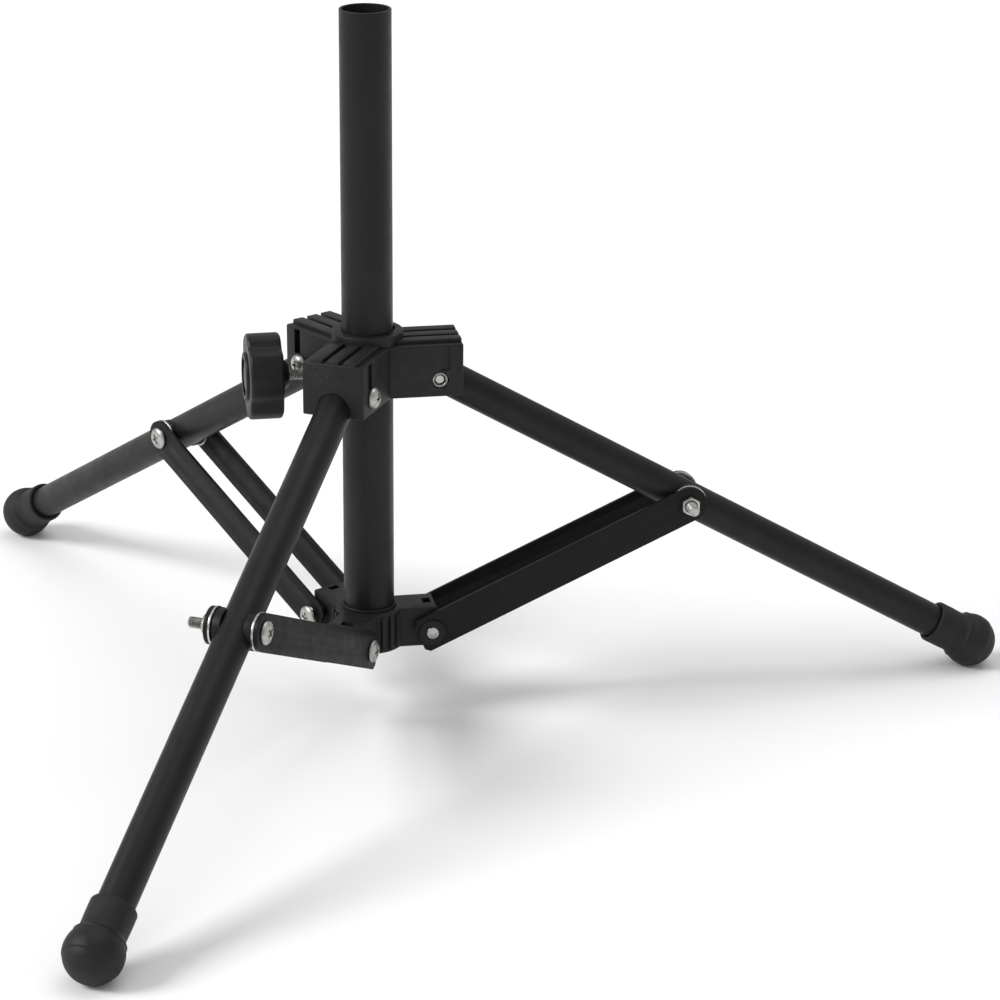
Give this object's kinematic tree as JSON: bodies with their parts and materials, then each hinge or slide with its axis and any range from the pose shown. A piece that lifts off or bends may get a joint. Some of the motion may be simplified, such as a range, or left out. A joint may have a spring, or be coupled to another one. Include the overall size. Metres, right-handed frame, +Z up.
{
  "type": "tripod hunting stand",
  "caption": "Folding tripod base: a centre post with a sliding hub, tube legs braced to a lower collar, ball-ended rubber feet and a lobed clamp knob.",
  "frame": {"origin": "middle of the flat lower face of the plug in the centre post's bottom end", "axes": "+Z up along the centre post; -Y outward along leg a; legs b and c at 30 and 150 degrees from +X; the clamp knob at 210 degrees"},
  "size_m": [0.6428, 0.5608, 0.398],
  "materials": {
    "powder_coat": "black powder coat, fine texture",
    "black_plastic": "black glass-filled nylon, satin",
    "rubber": "black rubber, matt",
    "bar_steel": "black painted steel bar, satin",
    "zinc": "zinc-plated steel",
    "brass": "plain turned brass"
  },
  "bodies": {
    "base": {"center_post": "powder_coat", "post_bottom_plug": "black_plastic", "post_seat_ring": "black_plastic", "lower_collar": "black_plastic", "collar_set_screw": "zinc", "collar_pivot_a": "zinc", "collar_pivot_b": "zinc", "collar_pivot_c": "zinc"},
    "brace_a": {"brace_a_left": "bar_steel", "brace_a_right": "bar_steel"},
    "leg_a": {"leg_tube_a": "powder_coat", "foot_a": "rubber", "joint_bolt_a": "zinc", "joint_nut_a": "zinc", "joint_spacer_a_left": "black_plastic", "joint_spacer_a_right": "black_plastic", "joint_washer_a_left": "zinc", "joint_washer_a_right": "zinc"},
    "hub": {"hub_body": "black_plastic", "clamp_insert": "brass", "hub_bolt_a": "zinc", "hub_nut_a": "zinc", "hub_bolt_b": "zinc", "hub_nut_b": "zinc", "hub_bolt_c": "zinc", "hub_nut_c": "zinc"},
    "leg_b": {"leg_tube_b": "powder_coat", "foot_b": "rubber", "joint_bolt_b": "zinc", "joint_nut_b": "zinc", "joint_spacer_b_left": "black_plastic", "joint_spacer_b_right": "black_plastic", "joint_washer_b_left": "zinc", "joint_washer_b_right": "zinc"},
    "brace_b": {"brace_b_left": "bar_steel", "brace_b_right": "bar_steel"},
    "leg_c": {"leg_tube_c": "powder_coat", "foot_c": "rubber", "joint_bolt_c": "zinc", "joint_nut_c": "zinc", "joint_spacer_c_left": "black_plastic", "joint_spacer_c_right": "black_plastic", "joint_washer_c_left": "zinc", "joint_washer_c_right": "zinc"},
    "brace_c": {"brace_c_left": "bar_steel", "brace_c_right": "bar_steel"},
    "pad": {"clamp_pad": "black_plastic"},
    "knob": {"clamp_knob": "black_plastic", "clamp_screw": "zinc", "knob_cap": "black_plastic"}
  },
  "joints": [
    {"name": "fold", "type": "hinge", "parent": "base", "child": "brace_a", "pos_m": [0, -0.0335, 0.01], "axis": [-1, 0, 0], "range_deg": [0, 60.85]},
    {"name": "leg_a_joint", "type": "hinge", "parent": "brace_a", "child": "leg_a", "pos_m": [0, -0.17981, 0.07718], "axis": [1, 0, 0], "range_deg": [0, 118.07]},
    {"name": "hub_a_joint", "type": "hinge", "parent": "leg_a", "child": "hub", "pos_m": [0, -0.0375, 0.15868], "axis": [-1, 0, 0], "range_deg": [0, 57.22]},
    {"name": "hub_b_joint", "type": "hinge", "parent": "hub", "child": "leg_b", "pos_m": [0.03248, 0.01875, 0.15868], "axis": [-0.5, 0.866, 0], "range_deg": [0, 57.22]},
    {"name": "leg_b_joint", "type": "hinge", "parent": "leg_b", "child": "brace_b", "pos_m": [0.15572, 0.08991, 0.07718], "axis": [0.5, -0.866, 0], "range_deg": [0, 118.07]},
    {"name": "hub_c_joint", "type": "hinge", "parent": "hub", "child": "leg_c", "pos_m": [-0.03248, 0.01875, 0.15868], "axis": [-0.5, -0.866, 0], "range_deg": [0, 57.22]},
    {"name": "leg_c_joint", "type": "hinge", "parent": "leg_c", "child": "brace_c", "pos_m": [-0.15572, 0.08991, 0.07718], "axis": [0.5, 0.866, 0], "range_deg": [0, 118.07]},
    {"name": "pad_slide", "type": "slide", "parent": "hub", "child": "pad", "axis": [-0.866, -0.5, 0], "range_m": [0, 0.002]},
    {"name": "knob_turn", "type": "hinge", "parent": "pad", "child": "knob", "pos_m": [-0.04936, -0.0285, 0.16068], "axis": [-0.866, -0.5, 0], "range_deg": [0, 720]}
  ],
  "couplings": [
    {"joint": "leg_a_joint", "follows": "fold", "ratio": 1.9399},
    {"joint": "hub_a_joint", "follows": "fold", "ratio": 0.93994},
    {"joint": "hub_b_joint", "follows": "fold", "ratio": 0.93994},
    {"joint": "leg_b_joint", "follows": "fold", "ratio": 1.9399},
    {"joint": "hub_c_joint", "follows": "fold", "ratio": 0.93994},
    {"joint": "leg_c_joint", "follows": "fold", "ratio": 1.9399},
    {"joint": "knob_turn", "follows": "pad_slide", "rad_per_m": 6283.2}
  ]
}
